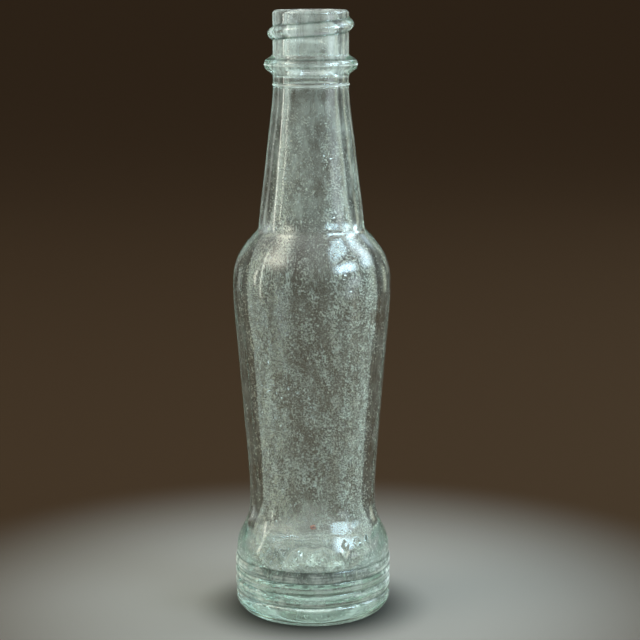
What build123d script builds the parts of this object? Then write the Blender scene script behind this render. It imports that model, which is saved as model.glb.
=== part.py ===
"""Small screw-top soda bottle of clear pressed-and-blown glass, empty and without its cap.

Millimetres. +Z is up along the bottle's axis, -Y is the front, and the origin is the centre of the
resting ring. Outlines are drawn as (radius, height) in the XZ plane and revolved about Z.

Pieces: glass_bottle is the one-piece glass, dried_film is the mineral film left on the inner wall,
and rust_fleck is a small brown fleck stuck to that film.
"""

import os
from math import cos, radians, sin

from build123d import *

# Overall
HEIGHT = 200.0  # resting ring to lip

# Resting ring and heel
REST_IN_R = 15.2
REST_OUT_R = 20.6
PUSH_UP = 3.4  # how far the underside rises at its centre
HEEL_R = 25.95
HEEL_TOP_Z = 5.7
NOTCH_COUNT = 48  # pressed notches round the resting ring
NOTCH_WIDTH = 0.8
NOTCH_DEPTH = 0.3
NOTCH_RIM = 0.8  # plain ring left on each side of the notches

# Ribs round the base
RIB_VALLEYS_Z = [7.4, 11.8, 15.7, 19.5]
RIB_CREST_R = 26.05
RIB_VALLEY_R = 25.55
HEEL_GROOVE_R = 25.2  # the lowest valley is cut deeper than the others

# Body
WAIST_R = 21.0
WAIST_Z = 40.3
SHOULDER_R = 25.86
SHOULDER_Z = 108.7
SHOULDER_END = (17.6, 129.5)  # where the shoulder would meet the neck as a sharp corner
SHOULDER_FILLET = 3.0

# Neck and finish
NECK_TOP_R = 12.28
NECK_TOP_Z = 175.9
SEAM_HEIGHT = 0.8  # raised line where the neck-ring mould met the body mould
SEAM_PROUD = 0.22
BEAD_BOTTOM_Z = 178.9
BEAD_CREST_Z = 182.7
BEAD_TOP_Z = 186.1
BEAD_R = 15.12
FINISH_R = 12.3
LIP_OUT_ROUND = 1.3
LIP_IN_ROUND = 1.2
BORE_R = 8.9
BORE_BOTTOM_Z = 174.0

# Thread: right-handed and single start
THREAD_PITCH = 5.7
THREAD_FRONT_Z = 194.0  # height of the thread's middle where it crosses the front
THREAD_START_DEG = 48.0  # angle from +X where the run-in starts, low on the back
THREAD_END_DEG = 402.0  # where the run-out ends, high on the back
THREAD_TAPER_DEG = 36.0
THREAD_SECTIONS = 19
THREAD_CREST_R = 13.97
THREAD_ROOT_R = 11.5  # the ridge is rooted inside the wall, so that the two join
THREAD_ROOT_WIDTH = 5.2
THREAD_CREST_WIDTH = 1.9
THREAD_CREST_ROUND = 0.45

# Cavity, below the straight bore
FLOOR_Z = 12.1
CAVITY_SHOULDER = (21.3, 108.0)
CAVITY_WAIST = (16.6, 40.5)
CAVITY_BULGE = (20.7, 22.4)

# Raised marks on the slope above the bulge, plain shapes in a short row
MARK_ROW_DEG = -52.0
MARK_STEP_DEG = 11.5
MARK_Z = 27.7
MARK_WALL_R = 23.8  # outer wall radius at that height
MARK_LEAN_DEG = 27.0  # how far the wall leans back there
MARK_PROUD = 0.4
MARK_SIZE = 3.8

# Residue
FILM_GAP = 0.06
FILM_THICKNESS = 0.12
FILM_TOP_Z = 170.0
FLECK_R = 1.05
FLECK_THICKNESS = 0.3
FLECK_Z = 33.0
FLECK_WALL_R = 17.77  # cavity radius at that height
FLECK_LEAN_DEG = 20.0  # how far the cavity wall leans back there


def axis_plane(height, angle=0.0):
    """A plane on the bottle's axis at a height, its local X pointing outwards at an angle from +X."""
    outward = (cos(radians(angle)), sin(radians(angle)), 0)
    across = (sin(radians(angle)), -cos(radians(angle)), 0)
    return Plane(origin=(0, 0, height), x_dir=outward, z_dir=across)


def ribbed_base():
    """The outer outline from the resting ring up to the top of the ribs."""
    ThreePointArc((0, PUSH_UP), (REST_IN_R * 0.55, PUSH_UP * 0.74), (REST_IN_R, 0))
    Line((REST_IN_R, 0), (REST_OUT_R, 0))
    ThreePointArc((REST_OUT_R, 0), (24.4, 1.65), (HEEL_R, HEEL_TOP_Z))
    ThreePointArc((HEEL_R, HEEL_TOP_Z), (25.78, 6.75), (HEEL_GROOVE_R, RIB_VALLEYS_Z[0]))
    low = (HEEL_GROOVE_R, RIB_VALLEYS_Z[0])
    for height in RIB_VALLEYS_Z[1:]:
        high = (RIB_VALLEY_R, height)
        ThreePointArc(low, (RIB_CREST_R, (low[1] + high[1]) / 2), high)
        low = high


def body_and_shoulder():
    """The outer outline from the ribs over the bulge, the waist and the shoulder to the neck."""
    Spline(
        (RIB_VALLEY_R, RIB_VALLEYS_Z[-1]),
        (25.15, 24.6),
        (23.65, 28.0),
        (21.95, 31.9),
        (21.15, 36.0),
        (WAIST_R, WAIST_Z),
        tangents=[(0.05, 1), (0, 1)],
    )
    Spline(
        (WAIST_R, WAIST_Z),
        (22.1, 59.5),
        (23.7, 80.0),
        (25.15, 97.0),
        (SHOULDER_R, SHOULDER_Z),
        tangents=[(0, 1), (0, 1)],
    )
    Spline(
        (SHOULDER_R, SHOULDER_Z),
        (25.4, 116.9),
        (23.3, 122.1),
        (20.4, 126.0),
        SHOULDER_END,
        tangents=[(0, 1), (-0.9, 1)],
    )
    Spline(
        SHOULDER_END,
        (15.4, 146.8),
        (13.87, 159.8),
        (12.7, 169.6),
        (NECK_TOP_R, NECK_TOP_Z),
        tangents=[(-0.08, 1), (0, 1)],
    )


def finish_outside():
    """The outer outline of the finish: mould line, bead, plain wall and rounded lip."""
    seam_top = (NECK_TOP_R, NECK_TOP_Z + SEAM_HEIGHT)
    ThreePointArc(
        (NECK_TOP_R, NECK_TOP_Z),
        (NECK_TOP_R + SEAM_PROUD, NECK_TOP_Z + SEAM_HEIGHT / 2),
        seam_top,
    )
    Line(seam_top, (NECK_TOP_R, BEAD_BOTTOM_Z))
    Spline(
        (NECK_TOP_R, BEAD_BOTTOM_Z),
        (12.65, 179.55),
        (13.3, 180.2),
        (14.1, 180.8),
        (14.78, 181.45),
        (BEAD_R, BEAD_CREST_Z),
        (14.95, 183.6),
        (14.5, 184.25),
        (13.55, 184.85),
        (12.72, 185.4),
        (FINISH_R, BEAD_TOP_Z),
        tangents=[(0.1, 1), (-0.03, 1)],
    )
    Line((FINISH_R, BEAD_TOP_Z), (FINISH_R, HEIGHT - LIP_OUT_ROUND))
    RadiusArc(
        (FINISH_R, HEIGHT - LIP_OUT_ROUND), (FINISH_R - LIP_OUT_ROUND, HEIGHT), -LIP_OUT_ROUND
    )
    Line((FINISH_R - LIP_OUT_ROUND, HEIGHT), (BORE_R + LIP_IN_ROUND, HEIGHT))
    RadiusArc((BORE_R + LIP_IN_ROUND, HEIGHT), (BORE_R, HEIGHT - LIP_IN_ROUND), -LIP_IN_ROUND)


def cavity_wall(inset=0.0):
    """The cavity's outline from the foot of the bore to the middle of the floor, moved inwards by inset."""
    Spline(
        (BORE_R - inset, BORE_BOTTOM_Z),
        (10.0 - inset, 161.0),
        (11.6 - inset, 146.0),
        (12.8 - inset, 135.0),
        (14.3 - inset, 129.2),
        (17.4 - inset, 124.0),
        (20.2 - inset, 117.2),
        (CAVITY_SHOULDER[0] - inset, CAVITY_SHOULDER[1]),
        tangents=[(0, -1), (0, -1)],
    )
    Spline(
        (CAVITY_SHOULDER[0] - inset, CAVITY_SHOULDER[1]),
        (20.4 - inset, 95.0),
        (18.9 - inset, 77.0),
        (17.4 - inset, 58.0),
        (CAVITY_WAIST[0] - inset, CAVITY_WAIST[1]),
        tangents=[(0, -1), (0, -1)],
    )
    Spline(
        (CAVITY_WAIST[0] - inset, CAVITY_WAIST[1]),
        (17.5 - inset, 34.0),
        (19.4 - inset, 29.2),
        (20.45 - inset, 25.6),
        (CAVITY_BULGE[0] - inset, CAVITY_BULGE[1]),
        tangents=[(0, -1), (0, -1)],
    )
    Spline(
        (CAVITY_BULGE[0] - inset, CAVITY_BULGE[1]),
        (19.3 - inset, 17.6 + inset / 2),
        (16.0 - inset / 2, 13.9 + inset),
        (11.5, 12.0 + inset),
        (0, FLOOR_Z + inset),
        tangents=[(0, -1), (-1, 0)],
    )


# Screw thread: one turn of rounded ridge, lofted through sections set along the helix.
# Both ends sink into the wall.
with BuildPart() as thread:
    for index in range(THREAD_SECTIONS):
        turn = THREAD_START_DEG + (THREAD_END_DEG - THREAD_START_DEG) * index / (THREAD_SECTIONS - 1)
        to_end = min(turn - THREAD_START_DEG, THREAD_END_DEG - turn)
        ease = min(1.0, to_end / THREAD_TAPER_DEG)
        rise = THREAD_PITCH * (turn - 270) / 360
        crest = THREAD_CREST_R - (THREAD_CREST_R - FINISH_R + 0.25) * (1 - ease)
        half_root = THREAD_ROOT_WIDTH / 2 * (0.5 + 0.5 * ease)
        half_crest = THREAD_CREST_WIDTH / 2 * (0.5 + 0.5 * ease)
        with BuildSketch(axis_plane(THREAD_FRONT_Z + rise, turn)):
            with BuildLine():
                flank_top = crest - THREAD_CREST_ROUND
                ThreePointArc((flank_top, half_crest), (crest, 0), (flank_top, -half_crest))
                Line((flank_top, -half_crest), (THREAD_ROOT_R, -half_root))
                Line((THREAD_ROOT_R, -half_root), (THREAD_ROOT_R, half_root))
                Line((THREAD_ROOT_R, half_root), (flank_top, half_crest))
            make_face()
    loft()


# Raised marks: an oval ring between two lozenges, moulded on the slope above the bulge.
with BuildPart() as marks:
    for index, shape in enumerate(["lozenge", "ring", "lozenge"]):
        angle = MARK_ROW_DEG + MARK_STEP_DEG * (index - 1)
        outward = Vector(1, 0, 0).rotate(Axis.Y, -MARK_LEAN_DEG).rotate(Axis.Z, angle)
        on_wall = Vector(MARK_WALL_R, 0, MARK_Z).rotate(Axis.Z, angle)
        across = Vector(0, 1, 0).rotate(Axis.Z, angle)
        face_plane = Plane(origin=on_wall + outward * MARK_PROUD, x_dir=across, z_dir=outward)
        with BuildSketch(face_plane):
            if shape == "ring":
                Ellipse(MARK_SIZE * 0.38, MARK_SIZE / 2)
                Ellipse(MARK_SIZE * 0.38 - 0.8, MARK_SIZE / 2 - 0.8, mode=Mode.SUBTRACT)
            else:
                with BuildLine():
                    Polyline(
                        (MARK_SIZE * 0.34, 0),
                        (0, MARK_SIZE / 2),
                        (-MARK_SIZE * 0.34, 0),
                        (0, -MARK_SIZE / 2),
                        close=True,
                    )
                make_face()
        extrude(amount=-(MARK_PROUD + 0.8))


# The glass: outside and cavity in one revolved section, then thread, marks and pressed notches.
with BuildPart() as glass_bottle:
    with BuildSketch(Plane.XZ):
        with BuildLine():
            ribbed_base()
            body_and_shoulder()
            finish_outside()
            Line((BORE_R, HEIGHT - LIP_IN_ROUND), (BORE_R, BORE_BOTTOM_Z))
            cavity_wall()
            Line((0, FLOOR_Z), (0, PUSH_UP))
        make_face()
        corner = vertices().sort_by_distance(SHOULDER_END)[0]
        fillet(corner, radius=SHOULDER_FILLET)
    revolve(axis=Axis.Z)
    add(thread.part)
    add(marks.part)
    with BuildSketch(Plane.XY):
        with PolarLocations((REST_IN_R + REST_OUT_R) / 2, NOTCH_COUNT):
            SlotOverall(REST_OUT_R - REST_IN_R - 2 * NOTCH_RIM, NOTCH_WIDTH)
    extrude(amount=NOTCH_DEPTH, mode=Mode.SUBTRACT)


# Dried film: a thin skin just inside the cavity wall and over its floor, up into the neck.
with BuildPart() as dried_film:
    with BuildSketch(Plane.XZ):
        with BuildLine():
            cavity_wall(FILM_GAP)
            Line((0, FLOOR_Z + FILM_GAP), (0, BORE_BOTTOM_Z))
            Line((0, BORE_BOTTOM_Z), (BORE_R - FILM_GAP, BORE_BOTTOM_Z))
        make_face()
        with BuildLine():
            inset = FILM_GAP + FILM_THICKNESS
            cavity_wall(inset)
            Line((0, FLOOR_Z + inset), (0, BORE_BOTTOM_Z))
            Line((0, BORE_BOTTOM_Z), (BORE_R - inset, BORE_BOTTOM_Z))
        make_face(mode=Mode.SUBTRACT)
        with Locations((HEIGHT / 4, FILM_TOP_Z / 2)):
            Rectangle(HEIGHT / 2, FILM_TOP_Z, mode=Mode.INTERSECT)
    revolve(axis=Axis.Z)


# Rust fleck: a small rounded scab on the film, low on the front.
with BuildPart() as rust_fleck:
    inward = Vector(0, 1, 0).rotate(Axis.X, -FLECK_LEAN_DEG)
    on_film = Vector(0, -FLECK_WALL_R, FLECK_Z) + inward * (FILM_GAP + FILM_THICKNESS + 0.1)
    with BuildSketch(Plane(origin=on_film, x_dir=(1, 0, 0), z_dir=inward)):
        Ellipse(FLECK_R, FLECK_R * 0.85)
    extrude(amount=FLECK_THICKNESS)
    fillet(edges().sort_by(Axis.Y)[-1], radius=FLECK_THICKNESS * 0.6)


os.makedirs("parts", exist_ok=True)
for label, piece in [
    ("glass_bottle", glass_bottle),
    ("dried_film", dried_film),
    ("rust_fleck", rust_fleck),
]:
    piece.part.label = label
    export_step(piece.part, f"parts/{label}.step")
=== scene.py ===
"""Looks for the screw-top soda bottle: clear pale-green glass with a dried mineral haze inside.

Metres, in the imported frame: +Z up the bottle's axis, -Y the front. The glass is rebuilt as one dense
closed mesh on the outline of the CAD bottle, so that its curves refract smoothly. Outlines are written
in millimetres as (radius, height), the outer one from the base up and the inner one from the lip down.
Angles round the bottle are in degrees from +X.
"""
import math

import bmesh
import bpy
import numpy as np
from mathutils import Euler, Matrix, Vector


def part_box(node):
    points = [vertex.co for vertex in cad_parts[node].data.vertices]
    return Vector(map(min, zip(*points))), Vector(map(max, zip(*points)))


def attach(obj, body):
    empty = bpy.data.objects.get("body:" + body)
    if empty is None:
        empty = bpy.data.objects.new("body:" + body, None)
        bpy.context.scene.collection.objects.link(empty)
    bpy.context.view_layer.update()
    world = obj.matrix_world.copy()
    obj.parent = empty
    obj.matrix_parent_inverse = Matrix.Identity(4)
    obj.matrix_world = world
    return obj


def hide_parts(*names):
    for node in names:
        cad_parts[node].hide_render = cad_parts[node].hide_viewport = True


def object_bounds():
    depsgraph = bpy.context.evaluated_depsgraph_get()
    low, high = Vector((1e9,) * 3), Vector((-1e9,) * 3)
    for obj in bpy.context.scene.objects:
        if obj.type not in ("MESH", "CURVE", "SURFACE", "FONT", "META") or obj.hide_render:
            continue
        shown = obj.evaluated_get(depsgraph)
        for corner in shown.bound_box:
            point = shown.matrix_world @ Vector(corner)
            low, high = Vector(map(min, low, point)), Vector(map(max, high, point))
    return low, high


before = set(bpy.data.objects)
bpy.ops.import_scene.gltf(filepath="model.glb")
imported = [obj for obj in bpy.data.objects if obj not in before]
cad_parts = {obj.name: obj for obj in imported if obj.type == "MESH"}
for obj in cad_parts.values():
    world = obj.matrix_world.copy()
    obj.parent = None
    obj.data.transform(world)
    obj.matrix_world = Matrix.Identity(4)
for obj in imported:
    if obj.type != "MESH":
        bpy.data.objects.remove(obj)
CAD_LOW, CAD_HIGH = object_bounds()

MM = 0.001
HEIGHT = 200.0
FIT = (CAD_HIGH.z - CAD_LOW.z) / (HEIGHT * MM)  # 1 while the outline below matches the frame
SEGMENTS = 480  # points round the glass
FILM_SEGMENTS = 240
AXIS_R = 0.4  # an outline stops this far from the axis, where one point closes it

# Outline of the glass
REST_IN_R, REST_OUT_R, PUSH_UP = 15.2, 20.6, 3.4
HEEL_R, HEEL_TOP_Z, HEEL_GROOVE_R = 25.95, 5.7, 25.2
RIB_VALLEYS_Z = [7.4, 11.8, 15.7, 19.5]
RIB_VALLEY_R, RIB_CREST_R = 25.55, 26.05
WAIST, SHOULDER, SHOULDER_END, NECK_START = (21.0, 40.3), (25.86, 108.7), (18.3, 128.3), (17.25, 131.0)
NECK_TOP_R, NECK_TOP_Z = 12.28, 175.9
SEAM_LINE_HEIGHT, SEAM_LINE_PROUD = 0.8, 0.22
BEAD_BOTTOM_Z, BEAD_CREST_Z, BEAD_TOP_Z = 178.9, 182.7, 186.1
FINISH_R, BORE_R, BORE_BOTTOM_Z = 12.3, 8.9, 174.0
LIP_OUT_ROUND, LIP_IN_ROUND = 1.3, 1.2
CAVITY_SHOULDER, CAVITY_WAIST, CAVITY_BULGE, FLOOR_Z = (21.3, 108.0), (16.6, 40.5), (20.7, 22.4), 12.1
FLOOR_DISC_R = 10.0  # flat disc in the middle of the cavity floor
NOTCH_COUNT, NOTCH_DEPTH = 48, 0.3  # pressed into the resting ring
CREST_LINE_PROUD, CREST_LINE_SPREAD = 0.07, 0.22  # round the bead
SIDE_SEAM_ANGLE, SIDE_SEAM_HALF_WIDTH, SIDE_SEAM_PROUD = 8.0, 0.9, 0.10  # where the mould halves met

# Thread
THREAD_PITCH, THREAD_FRONT_Z = 5.7, 194.0
THREAD_START, THREAD_END, THREAD_TAPER = 48.0, 402.0, 36.0  # degrees from +X
THREAD_HEIGHT, THREAD_WIDTH = 1.66, 4.5

# Raised marks on the slope above the bulge
MARK_ROW, MARK_STEP, MARK_Z, MARK_WALL_R = -52.0, 11.5, 27.7, 23.8
MARK_LEAN, MARK_PROUD, MARK_SIZE = 27.0, 0.42, 3.8
MARK_LOW_Z, MARK_HIGH_Z = 21.0, 35.0

# Residue
FILM_GAP, FILM_THICKNESS, FILM_TOP_Z = 0.06, 0.12, 170.0
GRAIN_COUNT, GRAIN_TRIES = 22000, 6  # tries for each grain
GRAIN_SIZE, GRAIN_SPREAD, GRAIN_SMALLEST, GRAIN_LARGEST = 0.155, 0.48, 0.07, 0.5
# Where the residue is heavy or light, as (angle, width, weight)
HEAVY_SIDES = [(220, 22, 1.3), (322, 22, 0.8), (130, 30, 0.6), (30, 35, 0.5), (268, 22, -0.25)]

# Lines round the outside, as (height, spread, strength): painted shade by the bead, lip and rib valleys,
# then scuffs
PAINTED_SHADE_LINES = [(184.5, 0.38, 0.95), (182.05, 0.16, 0.5), (179.6, 0.30, 0.6), (198.7, 0.16, 0.5)]
PAINTED_SHADE_LINES += [(height, 0.36, 0.85) for height in RIB_VALLEYS_Z]
SCUFF_LINES = [(BEAD_CREST_Z, 0.24, 0.45), (NECK_TOP_Z + 0.4, 0.19, 0.8), (178.7, 0.3, 0.12)]

# Camera and lights
CAMERA_PLACE, CAMERA_LENS = (0.0, -0.5945, 0.2110), 102.8
CAMERA_DOWN, CAMERA_TURN, CAMERA_ROLL = 10.7, -0.257, -0.2  # degrees
LIGHT_DISTANCE, LIGHT_AIM_Z = 1.1, 0.1


# ---------------------------------------------------------------- outlines

def spline(knots, start, end, spacing):
    """A smooth cubic through knots with set directions at both ends, sampled about every spacing."""
    knots = np.array(knots, float)
    count = len(knots)
    span = np.linalg.norm(np.diff(knots, axis=0), axis=1)
    system, right = np.zeros((count, count)), np.zeros((count, 2))
    system[0, 0] = system[-1, -1] = 1.0
    right[0] = np.array(start, float) / np.linalg.norm(start)
    right[-1] = np.array(end, float) / np.linalg.norm(end)
    for i in range(1, count - 1):
        before, after = span[i - 1], span[i]
        system[i, i - 1 : i + 2] = after, 2 * (before + after), before
        rise_before, rise_after = knots[i] - knots[i - 1], knots[i + 1] - knots[i]
        right[i] = 3 * (after * rise_before / before + before * rise_after / after)
    slopes = np.linalg.solve(system, right)
    out = []
    for i, length in enumerate(span):
        s = np.linspace(0, 1, max(2, math.ceil(length / spacing)), endpoint=False)[:, None]
        out.append(
            (2 * s**3 - 3 * s**2 + 1) * knots[i]
            + (s**3 - 2 * s**2 + s) * length * slopes[i]
            + (3 * s**2 - 2 * s**3) * knots[i + 1]
            + (s**3 - s**2) * length * slopes[i + 1]
        )
    return np.vstack(out)


def arc(a, middle, b, spacing):
    """The circle arc from a through middle to b, without its last point."""
    (ax, ay), (mx, my), (bx, by) = a, middle, b
    d = 2 * (ax * (my - by) + mx * (by - ay) + bx * (ay - my))
    a2, m2, b2 = ax * ax + ay * ay, mx * mx + my * my, bx * bx + by * by
    cx = (a2 * (my - by) + m2 * (by - ay) + b2 * (ay - my)) / d
    cy = (a2 * (bx - mx) + m2 * (ax - bx) + b2 * (mx - ax)) / d
    radius = math.hypot(ax - cx, ay - cy)
    start, through, stop = (math.atan2(y - cy, x - cx) for x, y in (a, middle, b))
    through = (through - start) % math.tau
    sweep = (stop - start) % math.tau
    if through > sweep:
        sweep -= math.tau
    count = max(3, math.ceil(abs(sweep) * radius / spacing))
    angles = start + sweep * np.arange(count) / count
    return np.stack([cx + radius * np.cos(angles), cy + radius * np.sin(angles)], 1)


def line(a, b, spacing):
    """The straight from a to b, without its last point."""
    count = max(1, math.ceil(math.dist(a, b) / spacing))
    s = np.arange(count)[:, None] / count
    return np.array(a) + s * (np.array(b) - np.array(a))


def outside_outline():
    """The outer wall, from the axis under the base up to the top of the lip."""
    foot, rest_start, rest_end = (REST_IN_R, 0.15), (REST_IN_R + 0.6, 0), (REST_OUT_R - 0.3, 0)
    heel, low = (HEEL_R, HEEL_TOP_Z), (HEEL_GROOVE_R, RIB_VALLEYS_Z[0])
    parts = [
        arc((AXIS_R, PUSH_UP), (REST_IN_R * 0.55, PUSH_UP * 0.74), foot, 0.6),
        arc(foot, (REST_IN_R + 0.25, 0.03), rest_start, 0.12),
        line(rest_start, rest_end, 0.3),
        arc(rest_end, (24.3, 1.62), heel, 0.25),
        arc(heel, (25.78, 6.75), low, 0.15),
    ]
    for height in RIB_VALLEYS_Z[1:]:
        high = (RIB_VALLEY_R, height)
        parts.append(arc(low, (RIB_CREST_R, (low[1] + high[1]) / 2), high, 0.16))
        low = high
    bulge = [low, (25.15, 24.6), (23.65, 28.0), (21.95, 31.9), (21.15, 36.0), WAIST]
    body = [WAIST, (22.1, 59.5), (23.7, 80.0), (25.15, 97.0), SHOULDER]
    shoulder = [SHOULDER, (25.4, 116.9), (23.3, 122.1), (20.4, 126.0), SHOULDER_END]
    neck_top = (NECK_TOP_R, NECK_TOP_Z)
    neck = [NECK_START, (15.4, 146.8), (13.87, 159.8), (12.7, 169.6), neck_top]
    seam_top = (NECK_TOP_R, NECK_TOP_Z + SEAM_LINE_HEIGHT)
    seam_crest = (NECK_TOP_R + SEAM_LINE_PROUD, NECK_TOP_Z + SEAM_LINE_HEIGHT / 2)
    bead = [
        (NECK_TOP_R, BEAD_BOTTOM_Z),
        (12.65, 179.55),
        (13.3, 180.2),
        (14.1, 180.8),
        (14.78, 181.45),
        (15.1, BEAD_CREST_Z),
        (14.95, 183.6),
        (14.5, 184.25),
        (13.55, 184.85),
        (12.72, 185.4),
        (FINISH_R, BEAD_TOP_Z),
    ]
    lip_low, lip_high = (FINISH_R, HEIGHT - LIP_OUT_ROUND), (FINISH_R - LIP_OUT_ROUND, HEIGHT)
    turn = 1 - math.sqrt(0.5)
    parts += [
        spline(bulge, (0.05, 1), (0, 1), 0.3),
        spline(body, (0, 1), (0, 1), 1.0),
        spline(shoulder, (0, 1), (-0.9, 1), 0.45),
        spline([SHOULDER_END, (17.62, 129.4), NECK_START], (-0.9, 1), (-0.08, 1), 0.2),
        spline(neck, (-0.08, 1), (0, 1), 0.8),
        arc(neck_top, seam_crest, seam_top, 0.12),
        line(seam_top, (NECK_TOP_R, BEAD_BOTTOM_Z), 0.4),
        spline(bead, (0.1, 1), (-0.03, 1), 0.12),
        line((FINISH_R, BEAD_TOP_Z), lip_low, 0.16),
        arc(lip_low, (FINISH_R - LIP_OUT_ROUND * turn, HEIGHT - LIP_OUT_ROUND * turn), lip_high, 0.15),
    ]
    return np.vstack(parts)


def cavity_outline():
    """The inner wall, from the top of the lip down to the middle of the floor."""
    turn = 1 - math.sqrt(0.5)
    edge, bore_top = (BORE_R + LIP_IN_ROUND, HEIGHT), (BORE_R, HEIGHT - LIP_IN_ROUND)
    neck = [
        (BORE_R, BORE_BOTTOM_Z),
        (10.0, 161.0),
        (11.6, 146.0),
        (12.8, 135.0),
        (14.3, 129.2),
        (17.4, 124.0),
        (20.2, 117.2),
        CAVITY_SHOULDER,
    ]
    body = [CAVITY_SHOULDER, (20.4, 95.0), (18.9, 77.0), (17.4, 58.0), CAVITY_WAIST]
    bulge = [CAVITY_WAIST, (17.5, 34.0), (19.4, 29.2), (20.45, 25.6), CAVITY_BULGE]
    floor = [
        CAVITY_BULGE,
        (19.3, 17.6),
        (16.0, 13.9),
        (12.0, 11.9),
        (11.0, 11.8),
        (FLOOR_DISC_R, FLOOR_Z),
        (5.0, FLOOR_Z + 0.05),
        (AXIS_R, FLOOR_Z),
    ]
    return np.vstack([
        line((FINISH_R - LIP_OUT_ROUND, HEIGHT), edge, 0.3),
        arc(edge, (BORE_R + LIP_IN_ROUND * turn, HEIGHT - LIP_IN_ROUND * turn), bore_top, 0.15),
        line(bore_top, (BORE_R, BORE_BOTTOM_Z), 1.0),
        spline(neck, (0, -1), (0, -1), 0.8),
        spline(body, (0, -1), (0, -1), 1.0),
        spline(bulge, (0, -1), (0, -1), 0.5),
        spline(floor, (0, -1), (-1, 0), 0.3),
        [[AXIS_R, FLOOR_Z]],
    ])


def outline_normals(outline):
    """Unit normals of an outline, pointing to its right-hand side as it is walked."""
    along = np.gradient(outline, axis=0)
    along /= np.linalg.norm(along, axis=1)[:, None]
    return np.stack([along[:, 1], -along[:, 0]], 1)


# ---------------------------------------------------------------- relief on the walls

def eased(x, start, end):
    """0 at start and 1 at end, with a smooth step between them; start may be the larger."""
    x = np.clip((x - start) / (end - start), 0, 1)
    return x * x * (3 - 2 * x)


def hump(x, middle, spread):
    """1 at the middle, falling to 0 past spread on either side."""
    return np.exp(-(((x - middle) / spread) ** 2))


def thread_laps(z, angle):
    """For each lap of the thread: how far its taper has opened, and the distance from its middle line."""
    for lap in (0.0, 360.0):
        turn = angle % 360 + lap
        inside = (turn > THREAD_START) & (turn < THREAD_END)
        ease = eased(np.minimum(turn - THREAD_START, THREAD_END - turn), 0, THREAD_TAPER) * inside
        middle = THREAD_FRONT_Z + THREAD_PITCH * (turn - 270) / 360
        yield ease, np.abs(z - middle) / (THREAD_WIDTH / 2 * (0.55 + 0.45 * ease))


def thread_relief(z, angle):
    """Height of the thread above the finish wall."""
    relief = np.zeros(np.broadcast(z, angle).shape)
    for ease, across in thread_laps(z, angle):
        ridge = np.cos(np.clip(across, 0, 1) * math.pi / 2) ** 0.9
        relief = np.maximum(relief, THREAD_HEIGHT * ease * ridge)
    return np.where((z > BEAD_TOP_Z) & (z < HEIGHT), relief, 0)


def corner_painted_shade(z, angle):
    """Painted shade in the outside corners: dark lines along the thread, round the bead, by the ribs and
    round the marks.
    """
    painted_shade = np.zeros(np.broadcast(z, angle).shape)
    for ease, across in thread_laps(z, angle):
        painted_shade = np.maximum(painted_shade, ease * hump(across, 0.92, 0.22))
    for height, spread, strength in PAINTED_SHADE_LINES:
        painted_shade = np.maximum(painted_shade, strength * hump(z, height, spread))
    # Painted shade also outlines the raised marks, darkest half way up their edges.
    raised = mark_relief(z, angle) / MARK_PROUD
    return np.maximum(painted_shade, 0.55 * 4 * raised * (1 - raised))


def mark_relief(z, angle):
    """Height of the raised marks, two lozenges with a ring between them, with soft moulded edges."""
    relief = np.zeros(np.broadcast(z, angle).shape)
    up = (z - MARK_Z) / math.cos(math.radians(MARK_LEAN))
    for step in (-1, 0, 1):
        turn = (angle - (MARK_ROW + MARK_STEP * step) + 180) % 360 - 180
        across = np.radians(turn) * MARK_WALL_R
        if step == 0:
            edge = 0.45 - np.abs(np.hypot(across / 0.76, up) - (MARK_SIZE / 2 - 0.45))
        else:
            edge = 1.3 * (1.0 - np.abs(across) / 1.3 - np.abs(up) / (MARK_SIZE / 2))
        relief = np.maximum(relief, MARK_PROUD * eased(edge, -0.042, 0.378))
    return np.where((z > MARK_LOW_Z) & (z < MARK_HIGH_Z), relief, 0)


def seam_relief(angle):
    """The two vertical lines where the mould halves met, a little off the bottle's sides."""
    turn = (angle - SIDE_SEAM_ANGLE + 90) % 180 - 90
    return SIDE_SEAM_PROUD * np.clip(1 - np.abs(turn) / SIDE_SEAM_HALF_WIDTH, 0, 1)


def waves(z, angle, seed, count, height_mm, z_span, turns):
    """Unevenness of blown glass: a sum of plane waves, each z_span mm tall and some turns round."""
    draw = np.random.default_rng(seed)
    total = 0.0
    for _ in range(count):
        tall = draw.uniform(*z_span) * draw.choice([-1, 1])
        around = draw.integers(*turns)
        total = total + np.sin(math.tau * z / tall + around * np.radians(angle) + draw.uniform(0, math.tau))
    return total * height_mm / math.sqrt(count)


def cavity_relief(r, z, angle):
    """How far the cavity wall stands in from its outline: the glass is uneven inside."""
    calm = eased(r, 4, 12) * eased(z, 190, 165)
    broad = waves(z, angle, 11, 9, 0.10, (45, 140), (1, 4))
    fine = waves(z, angle, 12, 9, 0.012, (12, 30), (3, 9))
    pebbled = waves(z, angle, 14, 16, 0.05, (4, 10), (7, 24)) * eased(z, 33, 26) * eased(r, 13, 19)
    return calm * (broad + fine + pebbled)


def outside_relief(r, z, angle):
    """How far the outer wall stands out from its outline: thread, marks, seams, notches, slight ripple."""
    ripple = 0.010 * waves(z, angle, 13, 8, 1.0, (20, 70), (2, 7)) * eased(z, 8, 14)
    crest = CREST_LINE_PROUD * hump(z, BEAD_CREST_Z, CREST_LINE_SPREAD)
    seams = np.where((z > 1) & (z < 199.5), seam_relief(angle), 0) * eased(r, 12, 12.2)
    ring = eased(r, REST_IN_R + 0.8, REST_IN_R + 1.4) * eased(r, REST_OUT_R - 0.6, REST_OUT_R - 1.2)
    teeth = np.maximum(0, np.cos(np.radians(angle) * NOTCH_COUNT)) ** 2
    notches = NOTCH_DEPTH * teeth * ring * (z < 0.6)
    return ripple + crest + thread_relief(z, angle) + mark_relief(z, angle) + seams - notches


def wall_points(outline, angle, relief_of):
    """Points of a wall: rows along the outline, columns round the axis, in mm."""
    normals = outline_normals(outline)
    r, z = outline[:, :1], outline[:, 1:]
    relief = relief_of(r, z, angle)
    return r + normals[:, :1] * relief, z + normals[:, 1:] * relief


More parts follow.
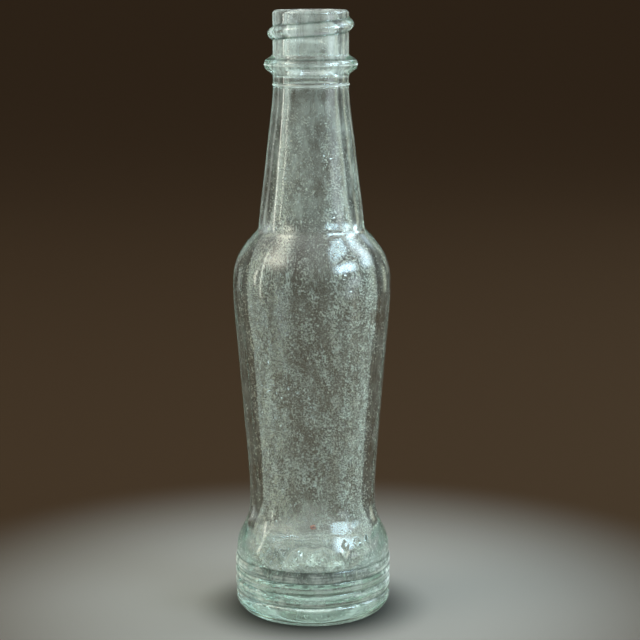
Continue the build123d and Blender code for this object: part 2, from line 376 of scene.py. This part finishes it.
def lobe(angle, middle, width):
    """1 at an angle round the bottle, falling to 0 past width degrees either side."""
    return hump((angle - middle + 180) % 360 - 180, 0, width)


def residue_cover(z, angle):
    """How thickly grains sit on the cavity wall, 0 to 1: streaks down the sides and a heavy lower body."""
    streaks = 0.5 + 0.5 * waves(z * 0.12, angle, 21, 14, 0.8, (20, 60), (3, 24))
    patches = 0.5 + 0.5 * waves(z, angle, 22, 18, 0.8, (6, 30), (2, 16))
    sides = sum(weight * lobe(angle, middle, width) for middle, width, weight in HEAVY_SIDES)
    lower = (0.12 + 0.88 * eased(z, 180, 125)) * (0.75 + 0.30 * eased(z, 95, 35))
    floor = 0.18 * eased(z, 15, 12)
    return np.clip((0.12 + 1.15 * streaks * patches + 0.45 * sides) * lower + floor, 0, 1)


def milkiness(r, z, outside):
    """How much of the glass surface is clouded: rubbed outside, etched and filmed over inside."""
    finish, neck, lip = eased(z, 172, 184), eased(z, 125, 140), eased(z, 197, 199)
    base, ribs = eased(z, 26, 14), eased(z, 22, 19) * eased(z, 6, 8)
    rubbed = 0.010 + 0.03 * finish + 0.05 * base + 0.14 * ribs + 0.08 * lip
    rubbed = rubbed + sum(strength * hump(z, height, spread) for height, spread, strength in SCUFF_LINES)
    disc = eased(r, FLOOR_DISC_R + 0.3, FLOOR_DISC_R - 0.5) * (z < 14)
    clear_band = 1 - 0.75 * np.exp(-(((z - 177.6) / 0.8) ** 4))
    filmed = (0.05 + 0.08 * neck + 0.13 * finish) * clear_band + 0.04 * base + 0.22 * disc
    return np.where(outside, rubbed, filmed)


# ---------------------------------------------------------------- meshes

def revolved(name, r, z, angles, start_pole, end_pole):
    """A closed mesh from rows of points round the axis, in mm, with a point on the axis at each end."""
    rows, columns = r.shape
    turn = np.radians(angles)
    points = np.stack([r * np.cos(turn), r * np.sin(turn), z], 2).reshape(-1, 3)
    points = np.vstack([points, [0, 0, start_pole], [0, 0, end_pole]])
    first = np.arange(columns)
    after = (first + 1) % columns
    low = np.arange(rows - 1)[:, None] * columns
    high = low + columns
    quads = np.stack([low + first, low + after, high + after, high + first], 2).reshape(-1, 4)
    start, end, last_row = rows * columns, rows * columns + 1, (rows - 1) * columns
    pairs = list(zip(first.tolist(), after.tolist()))
    caps = [[start, b, a] for a, b in pairs] + [[end, last_row + a, last_row + b] for a, b in pairs]
    return mesh_object(name, points * MM * FIT, quads.tolist() + caps)


def mesh_object(name, points, faces, shade_smooth=True):
    """An object in the scene from points in metres."""
    mesh = bpy.data.meshes.new(name)
    mesh.from_pydata(points.tolist(), [], faces)
    mesh.validate()
    return placed(mesh, shade_smooth)


def placed(mesh, shade_smooth=True):
    """An object in the scene that shows a mesh, under the mesh's own name."""
    if shade_smooth:
        mesh.polygons.foreach_set("use_smooth", [True] * len(mesh.polygons))
    mesh.update()
    made = bpy.data.objects.new(mesh.name, mesh)
    bpy.context.scene.collection.objects.link(made)
    return made


def paint(piece, name, rows):
    """Store one value per point of a revolved mesh; its two poles take the value of the row beside them."""
    layer = piece.data.attributes.new(name, "FLOAT", "POINT")
    layer.data.foreach_set("value", np.append(rows.ravel(), [rows[0, 0], rows[-1, 0]]).astype(np.float32))


def make_glass():
    """The bottle itself, with its clouding, crumbs and painted corner shade stored as values per point."""
    angles = np.arange(SEGMENTS)[None, :] * 360 / SEGMENTS
    out_r, out_z = wall_points(outside_outline(), angles, outside_relief)
    in_r, in_z = wall_points(cavity_outline(), angles, cavity_relief)
    r, z = np.vstack([out_r, in_r]), np.vstack([out_z, in_z])
    glass = revolved("bottle_glass", r, z, angles, PUSH_UP, FLOOR_Z)
    outside = np.arange(len(z))[:, None] < len(out_z)
    paint(glass, "milk", milkiness(r, z, outside))
    paint(glass, "cover", np.where(outside, 0, residue_cover(z, angles)))
    # Painted shade: dark lines in the outside corners, which darken the glass's colour and thin its
    # clouding.
    paint(glass, "painted_shade", np.where(outside, corner_painted_shade(z, angles), 0))
    return glass


def make_film():
    """A closed skin just inside the cavity wall, from the middle of the floor up into the neck."""
    angles = np.arange(FILM_SEGMENTS)[None, :] * 360 / FILM_SEGMENTS
    outline = cavity_outline()
    keep = outline[:, 1] < FILM_TOP_Z
    r, z = wall_points(outline, angles, cavity_relief)
    normals = outline_normals(outline)[keep]
    r, z = r[keep], z[keep]
    across, rise = normals[:, :1], normals[:, 1:]
    far = FILM_GAP + FILM_THICKNESS
    rows_r = np.vstack([(r + across * FILM_GAP)[::-1], r + across * far])
    rows_z = np.vstack([(z + rise * FILM_GAP)[::-1], z + rise * far])
    film = revolved("dried_haze", rows_r, rows_z, angles, FLOOR_Z + FILM_GAP, FLOOR_Z + far)
    paint(film, "cover", residue_cover(rows_z, np.broadcast_to(angles, rows_z.shape)))
    return film


def scattered(draw, outline):
    """Random places on the cavity wall, closer together where the residue is thicker: row, angle, z."""
    step = np.linalg.norm(np.diff(outline, axis=0), axis=1)
    area = np.concatenate([[0], np.cumsum(step * (outline[1:, 0] + outline[:-1, 0]))])
    rows = np.arange(len(outline))
    tries = GRAIN_COUNT * GRAIN_TRIES
    row = np.interp(draw.random(tries), area / area[-1], rows)
    angle = draw.uniform(0, 360, tries)
    z = np.interp(row, rows, outline[:, 1])
    chosen = np.flatnonzero(draw.random(tries) < residue_cover(z, angle) ** 1.5)[:GRAIN_COUNT]
    return row[chosen], angle[chosen], z[chosen]


def make_grains():
    """Thousands of small faceted crystals sitting on the film: four corners round a tip and a foot."""
    draw = np.random.default_rng(31)
    outline = cavity_outline()
    outline = outline[(outline[:, 1] < FILM_TOP_Z - 1) & (outline[:, 0] > 0.5)]
    normals = outline_normals(outline)
    at, angle, z = scattered(draw, outline)
    rows = np.arange(len(outline))
    r = np.interp(at, rows, outline[:, 0])
    across, rise = np.interp(at, rows, normals[:, 0]), np.interp(at, rows, normals[:, 1])
    size = draw.lognormal(math.log(GRAIN_SIZE), GRAIN_SPREAD, len(at))
    size = np.clip(size, GRAIN_SMALLEST, GRAIN_LARGEST)
    inset = cavity_relief(r, z, angle) + FILM_GAP + FILM_THICKNESS + 0.02
    r, z = r + across * inset, z + rise * inset
    turn = np.radians(angle)
    centre = np.stack([r * np.cos(turn), r * np.sin(turn), z], 1)
    out = np.stack([across * np.cos(turn), across * np.sin(turn), rise], 1)
    side = np.stack([-np.sin(turn), np.cos(turn), 0 * turn], 1)
    up = np.cross(out, side)
    corners = []
    for quarter in range(4):
        bearing = quarter * math.pi / 2 + draw.uniform(-0.5, 0.5, len(at))
        reach = size * draw.uniform(0.55, 1.25, len(at))
        sideways, upward = reach * np.cos(bearing), reach * np.sin(bearing)
        corners.append(centre + side * sideways[:, None] + up * upward[:, None])
    thick = size * draw.uniform(0.25, 0.7, len(at))
    lean = size * draw.uniform(-0.4, 0.4, len(at))
    corners.append(centre + out * thick[:, None] + side * lean[:, None])
    corners.append(centre - out * np.minimum(thick * 0.3, 0.05)[:, None])
    points = np.stack(corners, 1).reshape(-1, 3)
    pattern = np.array([[a, (a + 1) % 4, 4] for a in range(4)] + [[(a + 1) % 4, a, 5] for a in range(4)])
    faces = (np.arange(len(at))[:, None, None] * 6 + pattern).reshape(-1, 3).tolist()
    return mesh_object("mineral_grains", points * MM * FIT, faces, shade_smooth=False)


# ---------------------------------------------------------------- materials

WHITE = (1, 1, 1, 1)
MIX_SOCKETS = {"FLOAT": (2, 3, 0), "RGBA": (6, 7, 2)}  # first input, second input, result


class Nodes:
    """A material and a small helper for building its node tree."""

    def __init__(self, name):
        self.material = bpy.data.materials.new(name)
        self.material.use_nodes = True
        self.tree = self.material.node_tree
        self.tree.nodes.clear()
        self.output = self.tree.nodes.new("ShaderNodeOutputMaterial")

    def add(self, kind, **settings):
        node = self.tree.nodes.new("ShaderNode" + kind)
        for key, value in settings.items():
            setattr(node, key, value)
        return node

    def link(self, source, target):
        self.tree.links.new(source, target)

    def feed(self, item, target):
        """Link a socket, or set a plain number or colour."""
        if isinstance(item, bpy.types.NodeSocket):
            self.link(item, target)
        else:
            target.default_value = item

    def value(self, operation, a, b, clamp=False):
        """A sum, product or other mathematics of two numbers or sockets."""
        node = self.add("Math", operation=operation, use_clamp=clamp)
        self.feed(a, node.inputs[0])
        self.feed(b, node.inputs[1])
        return node.outputs[0]

    def ramp(self, source, low, high, to_low=0.0, to_high=1.0):
        """An eased step of the source, from to_low at low to to_high at high."""
        node = self.add("MapRange", interpolation_type="SMOOTHSTEP")
        self.link(source, node.inputs["Value"])
        for name, item in (("From Min", low), ("From Max", high), ("To Min", to_low), ("To Max", to_high)):
            node.inputs[name].default_value = item
        return node.outputs["Result"]

    def blend(self, share, first, second, kind="RGBA"):
        """The first colour or number where share is 0, the second where it is 1."""
        node = self.add("Mix", data_type=kind)
        first_at, second_at, result_at = MIX_SOCKETS[kind]
        self.link(share, node.inputs["Factor"])
        self.feed(first, node.inputs[first_at])
        self.feed(second, node.inputs[second_at])
        return node.outputs[result_at]

    def shader(self, kind, colour):
        """A plain surface shader of one colour."""
        node = self.add(kind)
        self.feed(colour, node.inputs["Color"])
        return node.outputs["BSDF"]

    def mixed(self, share, first, second):
        """The first shader where share is 0, the second where it is 1."""
        node = self.add("MixShader")
        self.feed(share, node.inputs["Fac"])
        self.link(first, node.inputs[1])
        self.link(second, node.inputs[2])
        return node.outputs["Shader"]

    def surface(self, shader):
        self.link(shader, self.output.inputs["Surface"])

    def painted(self, name):
        """The value per point that paint() stored on the mesh."""
        return self.add("Attribute", attribute_name=name).outputs["Fac"]

    def stretched(self, scale):
        """Object coordinates scaled per axis."""
        place = self.add("TexCoord")
        mapping = self.add("Mapping")
        mapping.inputs["Scale"].default_value = scale
        self.link(place.outputs["Object"], mapping.inputs["Vector"])
        return mapping.outputs["Vector"]

    def noise(self, vector, scale, detail=3.0, roughness=0.55):
        node = self.add("TexNoise")
        node.inputs["Scale"].default_value = scale
        node.inputs["Detail"].default_value = detail
        node.inputs["Roughness"].default_value = roughness
        self.link(vector, node.inputs["Vector"])
        return node.outputs["Fac"]

    def length(self, vector):
        node = self.add("VectorMath", operation="LENGTH")
        self.link(vector, node.inputs[0])
        return node.outputs["Value"]


def chalky(m, colour, through):
    """A chalk surface that also lets some light through."""
    return m.mixed(through, m.shader("BsdfDiffuse", colour), m.shader("BsdfTranslucent", colour))


def crumbs(m, place, scale, share):
    """Separate crumbs, one to a cell, in that share of the cells."""
    cells = m.add("TexVoronoi", feature="F1")
    cells.inputs["Scale"].default_value = scale
    m.link(place, cells.inputs["Vector"])
    pick = m.add("SeparateColor")
    m.link(cells.outputs["Color"], pick.inputs[0])
    present = m.ramp(m.value("SUBTRACT", share, pick.outputs[0]), -0.03, 0.03)
    reach = m.value("ADD", m.value("MULTIPLY", pick.outputs[1], 0.24), 0.26)
    near = m.ramp(m.value("SUBTRACT", reach, cells.outputs["Distance"]), -0.05, 0.07)
    return m.value("MULTIPLY", present, near)


def stirred(m, place, scale, reach):
    """A place moved about at random, by less than reach in metres, so that crumbs aren't round."""
    stir = m.add("TexNoise")
    stir.inputs["Scale"].default_value = scale
    stir.inputs["Detail"].default_value = 1.0
    m.link(place, stir.inputs["Vector"])
    shove = m.add("VectorMath", operation="MULTIPLY_ADD")
    m.link(stir.outputs["Color"], shove.inputs[0])
    shove.inputs[1].default_value = (reach, reach, reach)
    m.link(place, shove.inputs[2])
    return shove.outputs["Vector"]


def residue(m, fine_share, coarse_share):
    """Clumped whitish crumbs, 0 to 1, as close together as the mesh's cover says."""
    place = m.stretched((1, 1, 1))
    mottle = m.noise(place, 330, 5.0, 0.75)
    drips = m.noise(m.stretched((1, 1, 0.25)), 420, 3.0, 0.6)
    clumps = m.ramp(m.value("MULTIPLY", m.value("ADD", mottle, drips), 0.5), 0.43, 0.59, 0.0, 1.2)
    share = m.value("MULTIPLY", m.painted("cover"), clumps)
    moved = stirred(m, place, 2200, 0.0005)
    fine = crumbs(m, moved, 3700, m.value("MULTIPLY", share, fine_share))
    coarse = crumbs(m, moved, 2450, m.value("MULTIPLY", share, coarse_share))
    return m.value("MAXIMUM", fine, coarse)


def clouding(m, milk, painted_shade):
    """How white the glass surface is: the painted clouding, broken up, thicker on the slant and thinner
    under the painted shade in the corners.
    """
    patches = m.ramp(m.noise(m.stretched((1, 1, 0.6)), 190, 5.0, 0.7), 0.36, 0.66, 0.25, 1.8)
    streaks = m.ramp(m.noise(m.stretched((1, 1, 0.07)), 330, 3.0, 0.6), 0.34, 0.66, 0.5, 1.5)
    scuffs = m.ramp(m.noise(m.stretched((0.05, 0.05, 1)), 1100, 3.0, 0.7), 0.38, 0.62, 0.35, 1.8)
    place = m.add("SeparateXYZ")
    m.link(m.stretched((1, 1, 1)), place.inputs[0])
    above_ribs = m.ramp(place.outputs["Z"], 0.0185, 0.0235)
    cloud = m.value("MULTIPLY", patches, m.blend(above_ribs, scuffs, streaks, "FLOAT"))
    slant = m.add("LayerWeight").outputs["Facing"]
    thin = m.value("SUBTRACT", 1.0, m.value("MULTIPLY", slant, 0.6))
    bare = m.value("SUBTRACT", 1.0, m.value("MULTIPLY", painted_shade, 0.85))
    return m.value("MULTIPLY", m.value("DIVIDE", m.value("MULTIPLY", milk, cloud), thin), bare)


def glass_material():
    """Clear pale-green glass, clouded where its surface is rubbed, with crumbs stuck to the inner wall."""
    m = Nodes("pale_green_glass")
    milk, painted_shade = m.painted("milk"), m.painted("painted_shade")
    glass = m.add("BsdfPrincipled")
    # The glass turns dark green where the painted shade lies, in its outside corners.
    m.link(m.blend(painted_shade, (0.985, 0.995, 0.99, 1), (0.06, 0.11, 0.08, 1)), glass.inputs["Base Color"])
    glass.inputs["Transmission Weight"].default_value = 1.0
    glass.inputs["IOR"].default_value = 1.52
    patchy = m.ramp(m.noise(m.stretched((1, 1, 0.4)), 90, 2.0), 0.40, 0.75, 0.02, 0.06)
    m.link(m.value("ADD", patchy, m.value("MULTIPLY", milk, 0.4)), glass.inputs["Roughness"])

    stuck = m.value("MULTIPLY", residue(m, 0.52, 0.30), 0.92)
    white = m.value("ADD", stuck, clouding(m, milk, painted_shade), clamp=True)
    whole = m.mixed(white, glass.outputs["BSDF"], chalky(m, (0.97, 0.975, 0.88, 1), 0.5))

    # Light goes straight through on its way to other surfaces, so that the glass casts a clear shadow
    clear = m.shader("BsdfTransparent", (0.945, 0.945, 0.925, 1))
    m.surface(m.mixed(m.add("LightPath").outputs["Is Shadow Ray"], whole, clear))
    tint = m.add("VolumeAbsorption")
    tint.inputs["Color"].default_value = (0.25, 0.74, 0.52, 1)
    tint.inputs["Density"].default_value = 10.5
    m.link(tint.outputs["Volume"], m.output.inputs["Volume"])
    return m.material


def haze_material():
    """The loose top layer of the residue: coarse crumbs with clear gaps between them."""
    m = Nodes("dried_mineral_haze")
    cover = m.value("ADD", m.value("MULTIPLY", residue(m, 0.28, 0.32), 0.98), 0.012, clamp=True)
    clear = m.shader("BsdfTransparent", WHITE)
    m.surface(m.mixed(cover, clear, chalky(m, (0.97, 0.94, 0.84, 1), 0.4)))
    return m.material


def grain_material():
    """White mineral with a little gloss on its facets."""
    m = Nodes("mineral_grain")
    gloss = m.add("BsdfGlossy")
    gloss.inputs["Roughness"].default_value = 0.17
    gloss.inputs["Color"].default_value = (0.9, 0.93, 0.92, 1)
    shine = m.ramp(m.noise(m.stretched((1, 1, 1)), 900, 3.0), 0.35, 0.65, 0.14, 0.50)
    m.surface(m.mixed(shine, chalky(m, (0.97, 0.94, 0.85, 1), 0.35), gloss.outputs["BSDF"]))
    return m.material


def rust_material():
    """Matt reddish rust, mottled, with a dark pit in the middle of its front."""
    m = Nodes("rust_brown")
    skin = m.add("BsdfPrincipled")
    skin.inputs["Roughness"].default_value = 0.75
    ramp = m.add("ValToRGB")
    dark, light = ramp.color_ramp.elements
    dark.position, dark.color = 0.35, (0.46, 0.13, 0.085, 1)
    light.position, light.color = 0.65, (0.84, 0.38, 0.27, 1)
    m.link(m.noise(m.stretched((1, 1, 1)), 2500, 4.0), ramp.inputs["Fac"])
    middle = m.add("Mapping")
    middle.inputs["Location"].default_value = (-0.5, 0, -0.5)
    middle.inputs["Scale"].default_value = (1, 0, 1)
    m.link(m.add("TexCoord").outputs["Generated"], middle.inputs["Vector"])
    rim = m.ramp(m.length(middle.outputs["Vector"]), 0.08, 0.21)
    pitted = m.blend(rim, (0.035, 0.012, 0.008, 1), ramp.outputs["Color"])
    m.link(pitted, skin.inputs["Base Color"])
    m.surface(skin.outputs["BSDF"])
    return m.material


def floor_material():
    """A painted pool of light, pale round the bottle and falling off to a dark plain ground, with a painted
    shadow close under the bottle.
    """
    m = Nodes("studio_floor")
    away = m.length(m.add("TexCoord").outputs["Object"])
    # Painted pool of light: the floor's colour is pale near the bottle and fades to dark further out.
    painted_light_pool = m.blend(m.ramp(away, 0.043, 0.165), (0.255, 0.237, 0.21, 1), (0.041, 0.024, 0.013, 1))
    # Painted shadow: the floor's colour is dark close under the bottle.
    colour = m.blend(m.ramp(away, 0.020, 0.043), (0.052, 0.049, 0.043, 1), painted_light_pool)
    m.surface(m.shader("BsdfDiffuse", colour))
    return m.material


# ---------------------------------------------------------------- pieces

def dress(piece, material, node=None):
    """Give a piece its material, slot and body, and hide the CAD node it stands for."""
    piece.data.materials.append(material)
    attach(piece, "root")
    if node:
        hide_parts(node)


def make_fleck():
    """A lumpy scab in the box of the CAD fleck."""
    low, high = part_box("rust_fleck")
    middle, half = (low + high) / 2, (high - low) / 2
    shape = bmesh.new()
    bmesh.ops.create_icosphere(shape, subdivisions=3, radius=1.0)
    draw = np.random.default_rng(5)
    tilt = Euler((math.radians(-20), 0, math.radians(25))).to_matrix()
    ways = [Vector(way) for way in draw.normal(0, 2.2, (6, 3))]
    phases = draw.uniform(0, math.tau, 6)
    for vertex in shape.verts:
        lump = 1 + 0.07 * sum(math.sin(vertex.co.dot(way) + phase) for way, phase in zip(ways, phases))
        flat = Vector((vertex.co.x * half.x, vertex.co.y * half.y * 0.4, vertex.co.z * half.z * 0.98))
        vertex.co = middle + tilt @ (flat * lump)
    mesh = bpy.data.meshes.new("rust_scab")
    shape.to_mesh(mesh)
    shape.free()
    return placed(mesh)


dress(make_glass(), glass_material(), "glass_bottle")
dress(make_film(), haze_material(), "dried_film")
dress(make_grains(), grain_material())
dress(make_fleck(), rust_material(), "rust_fleck")


# ---------------------------------------------------------------- stage, light and camera

def make_floor():
    """A wide flat floor, pale round the bottle where a pool of light is painted on it."""
    bpy.ops.mesh.primitive_circle_add(vertices=128, radius=25, fill_type="NGON", location=(0, 0, 0))
    floor = bpy.context.object
    floor.name = "studio_floor"
    floor.data.materials.append(floor_material())


def make_world():
    """A dark horizon under a soft bright ceiling, the same from every side."""
    world = bpy.data.worlds.new("studio")
    bpy.context.scene.world = world
    world.use_nodes = True
    tree = world.node_tree
    tree.nodes.clear()
    place = tree.nodes.new("ShaderNodeTexCoord")
    split = tree.nodes.new("ShaderNodeSeparateXYZ")
    ramp = tree.nodes.new("ShaderNodeValToRGB")
    light = tree.nodes.new("ShaderNodeBackground")
    output = tree.nodes.new("ShaderNodeOutputWorld")
    horizon, ceiling = ramp.color_ramp.elements
    horizon.position, horizon.color = 0.10, (0.035, 0.022, 0.014, 1)
    ceiling.position, ceiling.color = 0.70, (0.80, 0.86, 0.88, 1)
    ramp.color_ramp.elements.new(0.35).color = (0.17, 0.17, 0.165, 1)
    tree.links.new(place.outputs["Generated"], split.inputs[0])
    tree.links.new(split.outputs["Z"], ramp.inputs["Fac"])
    tree.links.new(ramp.outputs["Color"], light.inputs["Color"])
    tree.links.new(light.outputs["Background"], output.inputs["Surface"])
    light.inputs["Strength"].default_value = 1.0


def softbox(name, azimuth, elevation, size, radiance, colour, soft=0.5):
    """A rectangular light, azimuth in degrees from the front towards +X, its edges soft by that share."""
    data = bpy.data.lights.new(name, "AREA")
    data.shape = "RECTANGLE"
    data.size, data.size_y = size
    data.energy = radiance * math.pi * size[0] * size[1]
    data.color = colour
    data.use_nodes = True
    tree = data.node_tree
    place = tree.nodes.new("ShaderNodeNewGeometry")
    split = tree.nodes.new("ShaderNodeSeparateXYZ")
    tree.links.new(place.outputs["Parametric"], split.inputs[0])
    edges = []
    for axis in (0, 1):
        fold = tree.nodes.new("ShaderNodeMath")
        fold.operation = "PINGPONG"
        fold.inputs[1].default_value = 0.5
        edge = tree.nodes.new("ShaderNodeMapRange")
        edge.interpolation_type = "SMOOTHSTEP"
        edge.inputs["From Max"].default_value = soft
        tree.links.new(split.outputs[axis], fold.inputs[0])
        tree.links.new(fold.outputs[0], edge.inputs["Value"])
        edges.append(edge.outputs["Result"])
    both = tree.nodes.new("ShaderNodeMath")
    both.operation = "MULTIPLY"
    tree.links.new(edges[0], both.inputs[0])
    tree.links.new(edges[1], both.inputs[1])
    tree.links.new(both.outputs[0], tree.nodes["Emission"].inputs["Strength"])
    lamp = bpy.data.objects.new(name, data)
    turn, rise = math.radians(azimuth), math.radians(elevation)
    away = Vector((math.cos(rise) * math.sin(turn), -math.cos(rise) * math.cos(turn), math.sin(rise)))
    lamp.location = Vector((0, 0, LIGHT_AIM_Z)) + away * LIGHT_DISTANCE
    lamp.rotation_euler = away.to_track_quat("Z", "Y").to_euler()
    lamp.visible_camera = False
    bpy.context.scene.collection.objects.link(lamp)


def make_camera():
    """A long lens a little above the bottle's top, looking about 11 degrees down."""
    data = bpy.data.cameras.new("camera")
    data.sensor_width = 36.0
    data.lens = CAMERA_LENS
    data.clip_start, data.clip_end = 0.01, 100
    camera = bpy.data.objects.new("camera", data)
    camera.location = CAMERA_PLACE
    turn = Euler((math.radians(90 - CAMERA_DOWN), 0, math.radians(CAMERA_TURN))).to_matrix()
    roll = Matrix.Rotation(math.radians(CAMERA_ROLL), 3, "Z")
    camera.rotation_euler = (turn @ roll).to_euler()
    bpy.context.scene.collection.objects.link(camera)
    bpy.context.scene.camera = camera


make_floor()
make_world()
softbox("window_right", 57, 30, (0.95, 0.46), 23, (0.62, 0.85, 1.0), soft=0.4)
softbox("window_far", 97, 26, (0.60, 0.46), 10, (0.58, 0.83, 1.0))
softbox("window_low", 65, 3, (0.70, 0.50), 3.5, (0.80, 0.91, 1.0))
softbox("side_right", 108, 36, (0.60, 0.85), 12, (0.72, 0.90, 1.0))
softbox("back_right", 141, 29, (0.42, 0.46), 3.5, (0.68, 0.88, 1.0))
softbox("room_left", -70, 42, (1.10, 0.90), 7.5, (1.0, 0.96, 0.80))
softbox("strip_left", -90, 6, (0.16, 0.95), 8, (1.0, 0.97, 0.85))
softbox("rim_right", 150, 8, (0.45, 1.20), 0.5, (0.95, 1.0, 0.78))
softbox("rim_left", -150, 8, (0.45, 1.20), 0.35, (0.95, 1.0, 0.92))
softbox("back_top", 180, 45, (0.90, 0.45), 2.0, (0.95, 1.0, 0.98))
make_camera()

scene = bpy.context.scene
scene.view_settings.view_transform = "Standard"
scene.cycles.max_bounces = 24
scene.cycles.transmission_bounces = 24
scene.cycles.transparent_max_bounces = 32
scene.cycles.glossy_bounces = 12
scene.cycles.caustics_reflective = False
scene.cycles.caustics_refractive = False
scene.cycles.use_denoising = True
